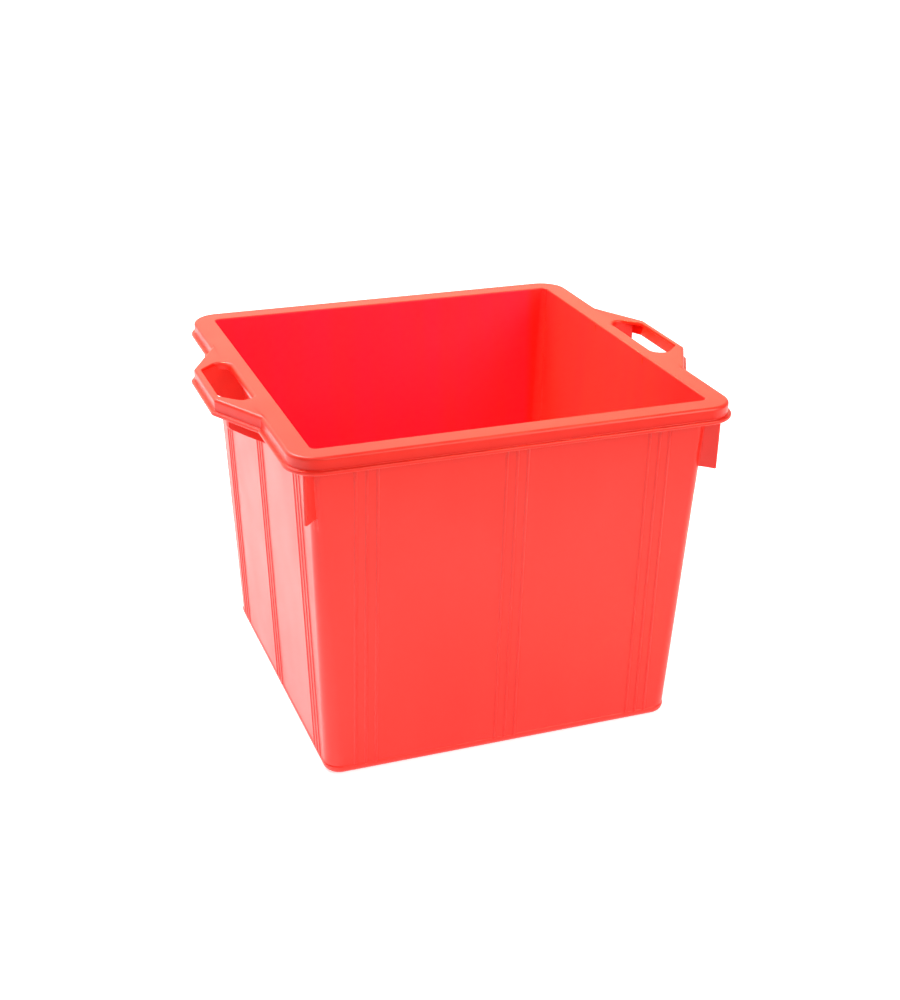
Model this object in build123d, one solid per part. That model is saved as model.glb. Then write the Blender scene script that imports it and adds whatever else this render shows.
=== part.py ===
from build123d import *
import os
from math import sqrt

# Square harvest basket: a deep tapered tub with a square mouth, a hollow turned-down
# rim with a rolled lip, two open hand grips on the left and right, diagonal fins
# under the rim corners and three groups of three fine ribs down every wall.
# Frame: millimetres, +X to the right-hand grip, +Y to the back, +Z up,
# origin on the ground under the middle of the basket.

# ---------------------------------------------------------------- driving dimensions
H = 360.0             # top of the rim above the ground
MOUTH_HALF = 200.0    # half of the square mouth, at the rim
WALL = 3.6            # wall thickness, measured level
BASE_HALF = 187.5     # half width of the outer wall, carried down to the ground
R_BASE = 16.5         # outer corner radius of the tub at the ground
R_MOUTH = 6.5         # corner radius of the mouth

FLOOR_TOP = 5.0       # inside floor above the ground
FLOOR_LIFT = 1.5      # underside of the floor panel above the ground
FOOT_IN = 168.0       # half width of the recess inside the standing band
R_FOOT = 10.0         # corner radius of that recess
R_BOTTOM = 8.0        # outer radius round the bottom edge
R_INSIDE = 5.0        # inner radius between floor and walls
BASE_H = 12.0         # height of the base course: the walls stand on it

RIM_T = 3.6           # thickness of the flat top of the rim
SKIRT_HALF = 223.0    # half width over the outer skirt of the rim
SKIRT_T = 3.6         # thickness of the skirt
LIP_OUT = 3.3         # the lip stands out from the skirt by this much
LIP_TOP = 347.5       # top of the lip
LIP_BOTTOM = 343.5    # bottom of the lip and of the skirt
R_RIM_TOP = 3.5       # radius along the outer top edge of the rim
R_RIM_MOUTH = 1.2     # radius along the mouth
R_LIP = 1.5           # radius of the lip's two outer edges

GRIP_X = 254.5        # outer face of the grip
GRIP_HALF = 47.5      # half length of the grip's straight outer side
ROOT_HALF = 108.0     # half length of the grip where it leaves the rim
CUT_HALF = 116.0      # the grip's pieces end here, on the straight rim
R_GRIP_CORNER = 5.0   # outer corner radius, in plan
R_GRIP_ROOT = 6.0     # root radius, in plan
HOLE_X0 = 216.5       # tub side of the hand hole
HOLE_X1 = 248.6       # outer side of the hand hole
HOLE_HALF = 57.0      # half length of the hand hole
HOLE_X_SLANT = 232.0  # from here outwards the ends of the hole slant in, as the arms do
HOLE_OUT_HALF = 40.5  # half length of its outer side
R_HOLE_IN = 12.0      # hole corner radii: tub side, start of the slant, outer side
R_HOLE_SLANT = 8.0
R_HOLE_OUT = 5.0
R_HOLE_EDGE = 2.0     # radius along the top edge of the hole
HOLE_TURN_T = 3.6     # on the tub side the edge of the hole turns down, this thick
HOLE_TURN_Z = 352.5   # and down to here
WEB_T = 3.2           # thickness of the upright webs at both ends of the hand hole
WEB_WALL_Z = 310.5    # lower edge of the webs at the tub wall: it slants up to the skirt
WEB_SKIRT_Z = 334.5   # and reaches the skirt here, a little below the lip
GRIP_SPLIT = 38.0     # the straight grip runs to here, then the two arms

FIN_T = 3.2           # thickness of the corner fins
FIN_BOTTOM = 289.5    # lower edge of the fins
FIN_OUT = 210.6       # outer edge of the fins level with the lip, in X and in Y
FIN_OUT_LOW = 210.0   # the same at their lower end
FIN_FLARE = 1.6       # inside the rim they widen over this height, to meet the skirt

RIB_PITCH = 10.75     # the three ribs of one group
RIB_GROUP = 149.0     # the outer groups, left and right of the middle one
RIB_W = 3.0           # rib width at the wall
RIB_TOP_W = 1.4       # rib width at its crown
RIB_H = 1.0           # rib height
RIB_Z0 = 9.0          # lower end of the ribs
RIB_Z1 = H - RIM_T    # upper end, under the rim

# ---------------------------------------------------------------- derived
TOP_HALF = MOUTH_HALF + WALL          # outer wall at rim height
R_TOP = R_MOUTH + WALL
RIM_C = MOUTH_HALF - R_MOUTH          # centre of the rim corners, in X and Y
WALL_TOP = H - RIM_T


def half(z):
    """Outer half width of the tub at height z."""
    return BASE_HALF + (TOP_HALF - BASE_HALF) * z / H


def rad(z):
    """Outer corner radius of the tub at height z."""
    return R_BASE + (R_TOP - R_BASE) * z / H


def cen(z):
    """Centre of the corner arcs at height z: the walls are flat up to here."""
    return half(z) - rad(z)


def prism(bottom, top):
    """Solid with flat faces between two matching level outlines of (x, y, z)."""
    n = len(bottom)
    faces = [Face(Wire.make_polygon(bottom, close=True)), Face(Wire.make_polygon(top, close=True))]
    for i in range(n):
        j = (i + 1) % n
        faces.append(Face(Wire.make_polygon([bottom[i], bottom[j], top[j], top[i]], close=True)))
    return Solid(Shell(faces))


def turned(solid, quarter):
    return Rot(0, 0, 90 * quarter) * solid


parts = {}

# ---------------------------------------------------------------- flat walls
def wall_panel():
    """The front wall: a flat tapering panel between the two rounded corners."""
    z0, z1 = BASE_H, WALL_TOP
    def ring(z):
        a, c = half(z), cen(z)
        return [(-c, -a, z), (c, -a, z), (c, -a + WALL, z), (-c, -a + WALL, z)]
    return prism(ring(z0), ring(z1))


panel = wall_panel()
parts["wall_front"] = panel
parts["wall_right"] = turned(panel, 1)
parts["wall_back"] = turned(panel, 2)
parts["wall_left"] = turned(panel, 3)

# ---------------------------------------------------------------- rounded wall corners
def corner_face(z):
    """Quarter ring of the front right corner at height z."""
    c, r = cen(z), rad(z)
    ri = r - WALL
    s = sqrt(0.5)
    o0, om, o1 = (c, -c - r, z), (c + r * s, -c - r * s, z), (c + r, -c, z)
    i0, im, i1 = (c, -c - ri, z), (c + ri * s, -c - ri * s, z), (c + ri, -c, z)
    return Face(Wire([Edge.make_three_point_arc(o0, om, o1), Edge.make_line(o1, i1),
                      Edge.make_three_point_arc(i1, im, i0), Edge.make_line(i0, o0)]))


post = Solid.make_loft([corner_face(BASE_H).outer_wire(), corner_face(WALL_TOP).outer_wire()], ruled=True)
parts["wall_corner_front_right"] = post
parts["wall_corner_back_right"] = turned(post, 1)
parts["wall_corner_back_left"] = turned(post, 2)
parts["wall_corner_front_left"] = turned(post, 3)

# ---------------------------------------------------------------- base course and floor
def tub(z0, z1, inset):
    """Tapered block with rounded corners, inset from the outer wall."""
    wires = []
    for z in (z0, z1):
        a, r = half(z) - inset, rad(z) - inset
        wires.append(Plane.XY.offset(z) * RectangleRounded(2 * a, 2 * a, r))
    return loft(wires, ruled=True)


shell_out = tub(0, BASE_H, 0.0)
shell_out = fillet(shell_out.faces().sort_by(Axis.Z)[0].edges(), R_BOTTOM)
shell_in = tub(FLOOR_TOP, BASE_H, WALL)
shell_in = fillet(shell_in.faces().sort_by(Axis.Z)[0].edges(), R_INSIDE)
recess = extrude(RectangleRounded(2 * FOOT_IN, 2 * FOOT_IN, R_FOOT), amount=FLOOR_LIFT)
base = shell_out - shell_in - recess

floor_plan = extrude(RectangleRounded(2 * FOOT_IN, 2 * FOOT_IN, R_FOOT), amount=4 * BASE_H)
parts["floor_panel"] = base & floor_plan          # the flat panel over the recess
band = base - floor_plan                          # the base course round it
k = FOOT_IN - R_FOOT
edge = band & (Pos(0, -k - 100, 0) * Box(2 * k, 200, 4 * BASE_H))
front_right = band & (Pos(k + 100, -k - 100, 0) * Box(200, 200, 4 * BASE_H))
parts["base_edge_front"] = edge
parts["base_edge_right"] = turned(edge, 1)
parts["base_edge_back"] = turned(edge, 2)
parts["base_edge_left"] = turned(edge, 3)
parts["base_corner_front_right"] = front_right
parts["base_corner_back_right"] = turned(front_right, 1)
parts["base_corner_back_left"] = turned(front_right, 2)
parts["base_corner_front_left"] = turned(front_right, 3)

# ---------------------------------------------------------------- rim
def rim_profile():
    """Section of the rim in the plane of (distance out from the corner centre, height)."""
    u0 = R_MOUTH                        # the mouth
    u1 = SKIRT_HALF - RIM_C             # outer face of the skirt
    u2 = u1 + LIP_OUT                   # outer face of the lip
    pts = [(u0, H), (u1, H), (u1, LIP_TOP), (u2, LIP_TOP), (u2, LIP_BOTTOM),
           (u1 - SKIRT_T, LIP_BOTTOM), (u1 - SKIRT_T, WALL_TOP), (u0, WALL_TOP)]
    face = make_face(Polyline(*pts, close=True))
    v = face.vertices()
    def near(p):
        return v.sort_by_distance(Vector(p[0], p[1], 0))[0]
    face = fillet(near(pts[1]), R_RIM_TOP)
    v = face.vertices()
    face = fillet(near(pts[0]), R_RIM_MOUTH)
    v = face.vertices()
    face = fillet([near(pts[3]), near(pts[4])], R_LIP)
    v = face.vertices()
    face = fillet(near(pts[2]), 0.8)
    return face


profile = rim_profile()
# upright section plane through the corner centre, facing the front rim
section = Plane(origin=(RIM_C, -RIM_C, 0), x_dir=(0, -1, 0), z_dir=(-1, 0, 0))
upright = section * profile

straight = extrude(upright, amount=2 * RIM_C, dir=(-1, 0, 0))
parts["rim_front"] = straight
parts["rim_back"] = turned(straight, 2)

turn_axis = Axis((RIM_C, -RIM_C, 0), (0, 0, 1))
corner = revolve(upright, axis=turn_axis, revolution_arc=90)
parts["rim_corner_front_right"] = corner
parts["rim_corner_back_right"] = turned(corner, 1)
parts["rim_corner_back_left"] = turned(corner, 2)
parts["rim_corner_front_left"] = turned(corner, 3)

side_section = Plane(origin=(RIM_C, -RIM_C, 0), x_dir=(1, 0, 0), z_dir=(0, -1, 0))
side = extrude(side_section * profile, amount=RIM_C - CUT_HALF, dir=(0, 1, 0))
parts["rim_right_front"] = side
parts["rim_right_back"] = Pos(0, RIM_C + CUT_HALF, 0) * side
parts["rim_left_back"] = turned(side, 2)
parts["rim_left_front"] = turned(parts["rim_right_back"], 2)

# ---------------------------------------------------------------- hand grips
def grip_outline(out):
    """Plan of the grip, closed along the mouth, `out` beyond the skirt's outer face."""
    y_end = CUT_HALF + 30.0
    pts = [(150.0, -y_end), (SKIRT_HALF, -y_end), (SKIRT_HALF, -ROOT_HALF), (GRIP_X, -GRIP_HALF),
           (GRIP_X, GRIP_HALF), (SKIRT_HALF, ROOT_HALF), (SKIRT_HALF, y_end), (150.0, y_end)]
    face = make_face(Polyline(*pts, close=True))
    v = face.vertices()
    roots = [v.sort_by_distance(Vector(*pts[i], 0))[0] for i in (2, 5)]
    face = fillet(roots, R_GRIP_ROOT)
    v = face.vertices()
    tips = [v.sort_by_distance(Vector(*pts[i], 0))[0] for i in (3, 4)]
    face = fillet(tips, R_GRIP_CORNER)
    if out:
        face = offset(face, amount=out, kind=Kind.ARC)
    return face


def hand_hole():
    pts = [(HOLE_X0, -HOLE_HALF), (HOLE_X_SLANT, -HOLE_HALF), (HOLE_X1, -HOLE_OUT_HALF),
           (HOLE_X1, HOLE_OUT_HALF), (HOLE_X_SLANT, HOLE_HALF), (HOLE_X0, HOLE_HALF)]
    face = make_face(Polyline(*pts, close=True))
    for pair, r in (((0, 5), R_HOLE_IN), ((1, 4), R_HOLE_SLANT), ((2, 3), R_HOLE_OUT)):
        v = face.vertices()
        face = fillet([v.sort_by_distance(Vector(*pts[i], 0))[0] for i in pair], r)
    return face


def grip_block():
    """Right-hand grip with the rim it grows from: top plate, skirt and lip in one."""
    top = extrude(Plane.XY.offset(LIP_BOTTOM) * grip_outline(0.0), amount=H - LIP_BOTTOM)
    top_edges = [e for e in top.faces().sort_by(Axis.Z)[-1].edges() if e.center().X > SKIRT_HALF - 1.0]
    top = fillet(top_edges, R_RIM_TOP)
    lip = extrude(Plane.XY.offset(LIP_BOTTOM) * grip_outline(LIP_OUT), amount=LIP_TOP - LIP_BOTTOM)
    lip_edges = [e for f in (lip.faces().sort_by(Axis.Z)[0], lip.faces().sort_by(Axis.Z)[-1])
                 for e in f.edges() if e.center().X > SKIRT_HALF]
    lip = fillet(lip_edges, R_LIP)
    block = top + lip
    block -= extrude(Plane.XY.offset(LIP_BOTTOM - 1) * grip_outline(-SKIRT_T), amount=WALL_TOP - LIP_BOTTOM + 1)
    around = offset(hand_hole(), amount=HOLE_TURN_T, kind=Kind.ARC)
    turn = extrude(Plane.XY.offset(HOLE_TURN_Z) * around, amount=WALL_TOP - HOLE_TURN_Z)
    x0, x1 = HOLE_X0 - HOLE_TURN_T, HOLE_X0 + R_HOLE_IN
    turn &= Pos((x0 + x1) / 2, 0, H) * Box(x1 - x0, 2 * HOLE_HALF, 100)
    block += turn
    hole = extrude(Plane.XY.offset(HOLE_TURN_Z - 2) * hand_hole(), amount=H - HOLE_TURN_Z + 4)
    block -= hole
    rim_edges = [e for e in block.edges() if abs(e.center().Z - H) < 0.01 and HOLE_X0 - 0.1 < e.center().X < HOLE_X1 + 0.1
                 and abs(e.center().Y) < HOLE_HALF + 0.1]
    block = fillet(rim_edges, R_HOLE_EDGE)
    return block


block = grip_block()
window = Pos(300 + MOUTH_HALF - 100, 0, 350) * Box(400, 2 * CUT_HALF, 100)       # x from 200
block = block & window
mouth_edges = [e for e in block.edges() if abs(e.center().X - MOUTH_HALF) < 0.01 and abs(e.center().Z - H) < 0.01]
block = fillet(mouth_edges, R_RIM_MOUTH)


def span(x0, x1, y0, y1):
    return Pos((x0 + x1) / 2, (y0 + y1) / 2, 350) * Box(x1 - x0, y1 - y0, 100)


middle = block & span(150, HOLE_X0, -150, 150)
grip = block & span(HOLE_X0, 300, -GRIP_SPLIT, GRIP_SPLIT)
arm_front = block & span(HOLE_X0, 300, -150, -GRIP_SPLIT)
arm_back = block & span(HOLE_X0, 300, GRIP_SPLIT, 150)
parts["rim_right_middle"] = middle
parts["rim_left_middle"] = turned(middle, 2)
parts["handle_right_grip"] = grip
parts["handle_left_grip"] = turned(grip, 2)
parts["handle_right_front_arm"] = arm_front
parts["handle_right_back_arm"] = arm_back
parts["handle_left_back_arm"] = turned(arm_front, 2)
parts["handle_left_front_arm"] = turned(arm_back, 2)

# ---------------------------------------------------------------- webs under the hand grips
def hole_web():
    """Upright web at the back end of the right hand hole, from the tub wall to the skirt."""
    slope = (GRIP_X - SKIRT_HALF) / (ROOT_HALF - GRIP_HALF)             # of the arm, in plan
    end = GRIP_X - slope * (HOLE_HALF - GRIP_HALF) - SKIRT_T * sqrt(1 + slope * slope)
    foot = half(WEB_WALL_Z)
    side = make_face(Polyline((foot, WEB_WALL_Z), (end, WEB_SKIRT_Z), (end, WALL_TOP), (foot - 8, WALL_TOP),
                              (foot - 8, WEB_WALL_Z), close=True))
    blade = Pos(0, HOLE_HALF + WEB_T, 0) * extrude(Plane.XZ * side, amount=WEB_T)
    inside = extrude(Plane.XY.offset(WEB_WALL_Z - 10) * grip_outline(-SKIRT_T), amount=WALL_TOP - WEB_WALL_Z + 10)
    return (blade & inside) - tub(BASE_H, WALL_TOP, 0.0)


web = hole_web()
across = mirror(web, about=Plane.XZ)
parts["handle_right_back_web"] = web
parts["handle_right_front_web"] = across
parts["handle_left_front_web"] = turned(web, 2)
parts["handle_left_back_web"] = turned(across, 2)

# ---------------------------------------------------------------- corner fins
def corner_fin():
    """Upright fin on the front right diagonal, from the tub corner to the skirt."""
    inner = cen(FIN_BOTTOM) * sqrt(2)
    skirt = RIM_C * sqrt(2) + SKIRT_HALF - SKIRT_T - RIM_C      # inner face of the skirt, on the diagonal
    side = make_face(Polyline((inner, FIN_BOTTOM), (FIN_OUT_LOW * sqrt(2), FIN_BOTTOM), (FIN_OUT * sqrt(2), LIP_BOTTOM),
                              (skirt, LIP_BOTTOM + FIN_FLARE), (skirt, WALL_TOP), (inner, WALL_TOP), close=True))
    blade = extrude(Plane.XZ * side, amount=FIN_T / 2, both=True)
    blade = Rot(0, 0, -45) * blade
    solid_post = tub(FIN_BOTTOM - 20, WALL_TOP, 0.0)
    return blade - solid_post - corner


fin = corner_fin()
parts["corner_fin_front_right"] = fin
parts["corner_fin_back_right"] = turned(fin, 1)
parts["corner_fin_back_left"] = turned(fin, 2)
parts["corner_fin_front_left"] = turned(fin, 3)

# ---------------------------------------------------------------- wall ribs
def rib(x):
    """One fine upright rib on the front wall, following the wall's taper."""
    def ring(z):
        a = half(z)
        w, t = RIB_W / 2, RIB_TOP_W / 2
        return [(x - w, -a, z), (x + w, -a, z), (x + w * 0.86, -a - RIB_H * 0.55, z), (x + t, -a - RIB_H, z),
                (x - t, -a - RIB_H, z), (x - w * 0.86, -a - RIB_H * 0.55, z)]
    return prism(ring(RIB_Z0), ring(RIB_Z1))


ribs = Compound(children=[rib(g * RIB_GROUP + k * RIB_PITCH) for g in (-1, 0, 1) for k in (-1, 0, 1)])
parts["ribs_front"] = ribs
parts["ribs_right"] = turned(ribs, 1)
parts["ribs_back"] = turned(ribs, 2)
parts["ribs_left"] = turned(ribs, 3)

# ---------------------------------------------------------------- write the pieces
os.makedirs("parts", exist_ok=True)
total = 0.0
for name, shape in sorted(parts.items()):
    solids = shape.solids()
    total += sum(s.volume for s in solids)
    out = solids[0] if len(solids) == 1 else Compound(children=list(solids))
    export_step(out, "parts/%s.step" % name)
print(len(parts), "nodes, volume %.0f mm3" % total)
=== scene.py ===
import bpy
import math
import numpy as np
from mathutils import Matrix, Vector


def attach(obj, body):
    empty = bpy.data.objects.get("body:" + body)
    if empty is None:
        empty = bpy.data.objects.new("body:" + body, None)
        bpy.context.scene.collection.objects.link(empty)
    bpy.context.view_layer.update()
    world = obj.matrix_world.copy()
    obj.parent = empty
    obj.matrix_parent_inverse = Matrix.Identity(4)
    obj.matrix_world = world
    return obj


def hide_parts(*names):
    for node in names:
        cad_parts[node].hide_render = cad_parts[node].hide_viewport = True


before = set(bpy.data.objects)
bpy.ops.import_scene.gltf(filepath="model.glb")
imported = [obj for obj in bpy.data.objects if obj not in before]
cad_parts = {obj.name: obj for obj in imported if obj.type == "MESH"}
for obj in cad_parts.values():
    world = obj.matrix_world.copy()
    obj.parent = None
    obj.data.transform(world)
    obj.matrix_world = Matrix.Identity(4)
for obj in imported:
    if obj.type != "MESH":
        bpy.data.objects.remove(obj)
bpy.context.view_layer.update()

# ------------------------------------------------------------------ dimensions (millimetres)
H = 360.0
WALL = 3.6
BASE_HALF, TOP_HALF = 187.5, 203.6
R_BASE, R_TOP = 16.5, 10.1
FLOOR_TOP, FLOOR_LIFT = 5.0, 1.5
FOOT_IN, R_FOOT = 168.0, 10.0
R_BOTTOM, R_INSIDE = 8.0, 5.0
RIM_T = 3.6
SKIRT, SKIRT_T = 223.0, 3.6
LIP_OUT, LIP_TOP, LIP_BOTTOM, R_LIP = 3.3, 347.5, 343.5, 1.5
R_RIM_TOP, R_RIM_MOUTH = 3.5, 1.2
RIM_C = 193.5
WALL_TOP = H - RIM_T
GRIP_X, GRIP_HALF, ROOT_HALF, CUT_HALF = 254.5, 47.5, 108.0, 116.0
R_GRIP_CORNER, R_GRIP_ROOT = 5.0, 6.0
HOLE_X0, HOLE_X1, HOLE_HALF = 216.5, 248.6, 57.0
HOLE_X_SLANT, HOLE_OUT_HALF = 232.0, 40.5
R_HOLE_IN, R_HOLE_SLANT, R_HOLE_OUT = 12.0, 8.0, 5.0
HOLE_TURN_T, HOLE_TURN_Z = 3.6, 352.5
WEB_T, WEB_WALL_Z, WEB_SKIRT_Z = 3.2, 310.5, 334.5
FIN_T, FIN_BOTTOM, FIN_OUT, FIN_OUT_LOW = 3.2, 289.5, 210.6, 210.0
RIB_PITCH, RIB_GROUP, RIB_H = 10.75, 149.0, 1.0
SEAM = 8.2                       # the walls run down to here outside, and to SEAM_IN inside
SEAM_IN = 12.0
BASE_STEP, BASE_STEP_Z, BASE_STEP_RISE = 0.8, 11.0, 2.0      # witness line of the mould, a fine step all round

HALF_D = (TOP_HALF - BASE_HALF) / H      # change of half width, corner radius and corner centre with height
RAD_D = (R_TOP - R_BASE) / H
CEN_D = HALF_D - RAD_D
LEAN = math.atan(HALF_D)


def half(z):
    return BASE_HALF + HALF_D * z


def rad(z):
    return R_BASE + RAD_D * z


def cen(z):
    return half(z) - rad(z)


# ------------------------------------------------------------------ mesh making
class Piece:
    """Collects patches with their own normals and welds them into one closed mesh."""

    def __init__(self):
        self.v, self.n, self.w, self.i, self.f, self.count = [], [], [], [], [], 0

    def points(self, p, n, wear_and_shade=0.0, inner=0.0):
        p = np.asarray(p, float).reshape(-1, 3)
        n = np.broadcast_to(np.asarray(n, float), p.shape) if np.ndim(n) == 1 else np.asarray(n, float).reshape(-1, 3)
        n = n / np.linalg.norm(n, axis=1, keepdims=True)
        first = self.count
        self.v.append(p)
        self.n.append(n)
        self.w.append(np.broadcast_to(np.asarray(wear_and_shade, float).ravel(), (len(p),)))
        self.i.append(np.broadcast_to(np.asarray(inner, float).ravel(), (len(p),)))
        self.count += len(p)
        return first

    def grid(self, p, n, wear_and_shade=0.0, inner=0.0):
        p = np.asarray(p, float)
        rows, cols = p.shape[:2]
        first = self.points(p, n, wear_and_shade, inner)
        k = first + np.arange(rows * cols).reshape(rows, cols)
        quads = np.stack([k[:-1, :-1], k[:-1, 1:], k[1:, 1:], k[1:, :-1]], -1).reshape(-1, 4)
        self.f.extend(quads.tolist())

    def face(self, p, n, wear_and_shade=0.0, inner=0.0):
        first = self.points(p, n, wear_and_shade, inner)
        self.f.append(list(range(first, self.count)))

    def zip(self, a, b, centre, n, wear_a=0.0, wear_b=0.0, inner=0.0):
        """Level band between two closed outlines that both go round centre the same way."""
        a, b = np.asarray(a, float), np.asarray(b, float)

        def start(loop):
            t = np.unwrap(np.arctan2(loop[:, 1] - centre[1], loop[:, 0] - centre[0]))
            if t[-1] < t[0]:
                loop, t = loop[::-1], t[::-1]
            k = int(np.argmin(np.mod(t, 2 * math.pi)))
            loop = np.roll(loop, -k, 0)
            t = np.unwrap(np.arctan2(loop[:, 1] - centre[1], loop[:, 0] - centre[0]))
            t = t - 2 * math.pi * math.floor(t[0] / (2 * math.pi))
            return loop, t
        a, ta = start(a)
        b, tb = start(b)
        fa = self.points(a, n, wear_a, inner)
        fb = self.points(b, n, wear_b, inner)
        na, nb = len(a), len(b)
        ta = np.append(ta, ta[0] + 2 * math.pi)
        tb = np.append(tb, tb[0] + 2 * math.pi)
        i = j = 0
        while i < na or j < nb:
            if j >= nb or (i < na and ta[i + 1] <= tb[j + 1]):
                self.f.append([fa + i % na, fa + (i + 1) % na, fb + j % nb])
                i += 1
            else:
                self.f.append([fa + i % na, fb + (j + 1) % nb, fb + j % nb])
                j += 1

    def turned(self, quarter):
        """A copy turned about the upright axis by quarter turns."""
        c, s = [(1, 0), (0, 1), (-1, 0), (0, -1)][quarter % 4]
        m = np.array([[c, -s, 0], [s, c, 0], [0, 0, 1]], float)
        other = Piece()
        other.v = [p @ m.T for p in self.v]
        other.n = [p @ m.T for p in self.n]
        other.w, other.i, other.f, other.count = list(self.w), list(self.i), [list(q) for q in self.f], self.count
        return other

    def build(self, name, *nodes):
        v, n = np.concatenate(self.v), np.concatenate(self.n)
        w, inner = np.concatenate(self.w), np.concatenate(self.i)
        key = np.round((v + 0.0000371) * 5000).astype(np.int64)
        _, first, inverse = np.unique(key, axis=0, return_index=True, return_inverse=True)
        inverse = inverse.ravel()
        verts = v[first]
        wear_and_shade, shaded_inside = np.zeros(len(verts)), np.zeros(len(verts))
        # the most negative value a point gets is the painted rib shade
        painted_rib_shade = np.zeros(len(verts))
        np.maximum.at(wear_and_shade, inverse, w)
        np.minimum.at(painted_rib_shade, inverse, w)
        wear_and_shade = np.where(wear_and_shade > 0.0, wear_and_shade, painted_rib_shade)
        np.maximum.at(shaded_inside, inverse, inner)
        faces, normals = [], []
        for q in self.f:
            loop, own = [], []
            for k in q:
                m = int(inverse[k])
                if m not in loop:
                    loop.append(m)
                    own.append(k)
            if len(loop) < 3:
                continue
            p = verts[loop]
            area = np.cross(p - p[0], np.roll(p, -1, 0) - p[0]).sum(0)
            if np.dot(area, n[own].sum(0)) < 0:
                loop, own = loop[::-1], own[::-1]
            faces.append(loop)
            normals.extend(n[own].tolist())
        mesh = bpy.data.meshes.new(name)
        mesh.from_pydata((verts * 0.001).tolist(), [], faces)
        mesh.shade_smooth()
        # per point: rubbed edges and painted rib shade share one channel; the other channel marks where the inside's
        # painted shade goes
        for label, values in (("wear_and_shade", wear_and_shade), ("shaded_inside", shaded_inside)):
            attribute = mesh.attributes.new(label, "FLOAT", "POINT")
            attribute.data.foreach_set("value", values.astype(np.float32))
        mesh.normals_split_custom_set(normals)
        mesh.update()
        o = bpy.data.objects.new(name, mesh)
        bpy.context.scene.collection.objects.link(o)
        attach(o, "root")
        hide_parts(*nodes)
        o.data.materials.append(plastic)
        return o


def arc(ch, cz, r, a0, a1, n, c=RIM_C, hollow=False, wear_and_shade=(0.0, 0.0), inner=0.0):
    """Rings round a rounded edge of a section: (half width, corner centre, height, normal out, normal up, wear, inner)."""
    out = []
    for k in range(n + 1):
        t = k / n
        a = math.radians(a0 + (a1 - a0) * t)
        s = -1.0 if hollow else 1.0
        z = cz + r * math.sin(a)
        w = wear_and_shade[0] + (wear_and_shade[1] - wear_and_shade[0]) * math.sin(math.pi * t)
        out.append((ch + r * math.cos(a), c if c is not None else cen(z), z, s * math.cos(a), s * math.sin(a), w, inner))
    return out


def straight(piece, rings, f0=None, f1=None, x0=None, x1=None, cols=8):
    """Front length of a swept section, from corner centre to corner centre or between two planes."""
    p, n, w, q = [], [], [], []
    for h, c, z, nu, nz, wear_and_shade, inner in rings:
        a = -c if x0 is None else x0
        b = c if x1 is None else x1
        x = np.linspace(a, b, cols + 1)
        p.append(np.stack([x, np.full_like(x, -h), np.full_like(x, z)], -1))
        n.append(np.tile((0.0, -nu, nz), (cols + 1, 1)))
        w.append(np.full(cols + 1, wear_and_shade))
        q.append(np.full(cols + 1, inner))
    piece.grid(np.array(p), np.array(n), np.array(w), np.array(q))


def corner(piece, rings, cols=20, tilt=None):
    """Front right corner of a swept section."""
    phi = np.radians(np.linspace(-90.0, 0.0, cols + 1))
    p, n, w, q = [], [], [], []
    for k, (h, c, z, nu, nz, wear_and_shade, inner) in enumerate(rings):
        r = h - c
        p.append(np.stack([c + r * np.cos(phi), -c + r * np.sin(phi), np.full_like(phi, z)], -1))
        up = np.full_like(phi, nz)
        if tilt is not None and tilt[k]:
            up = tilt[k] * (CEN_D * (np.sin(phi) - np.cos(phi)) - RAD_D)
        n.append(np.stack([nu * np.cos(phi), nu * np.sin(phi), up], -1))
        w.append(np.full(cols + 1, wear_and_shade))
        q.append(np.full(cols + 1, inner))
    piece.grid(np.array(p), np.array(n), np.array(w), np.array(q))


def cap(piece, rings, x, along):
    """Flat end of a straight length, at x (None: at the corner centres, on the side that along points to)."""
    p = [(along * c if x is None else x, -h, z) for h, c, z, *_ in rings]
    piece.face(p, (along, 0.0, 0.0))


def corner_caps(piece, rings):
    piece.face([(c, -h, z) for h, c, z, *_ in rings], (-1.0, 0.0, 0.0))
    piece.face([(h, -c, z) for h, c, z, *_ in rings], (0.0, 1.0, 0.0))


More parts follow.
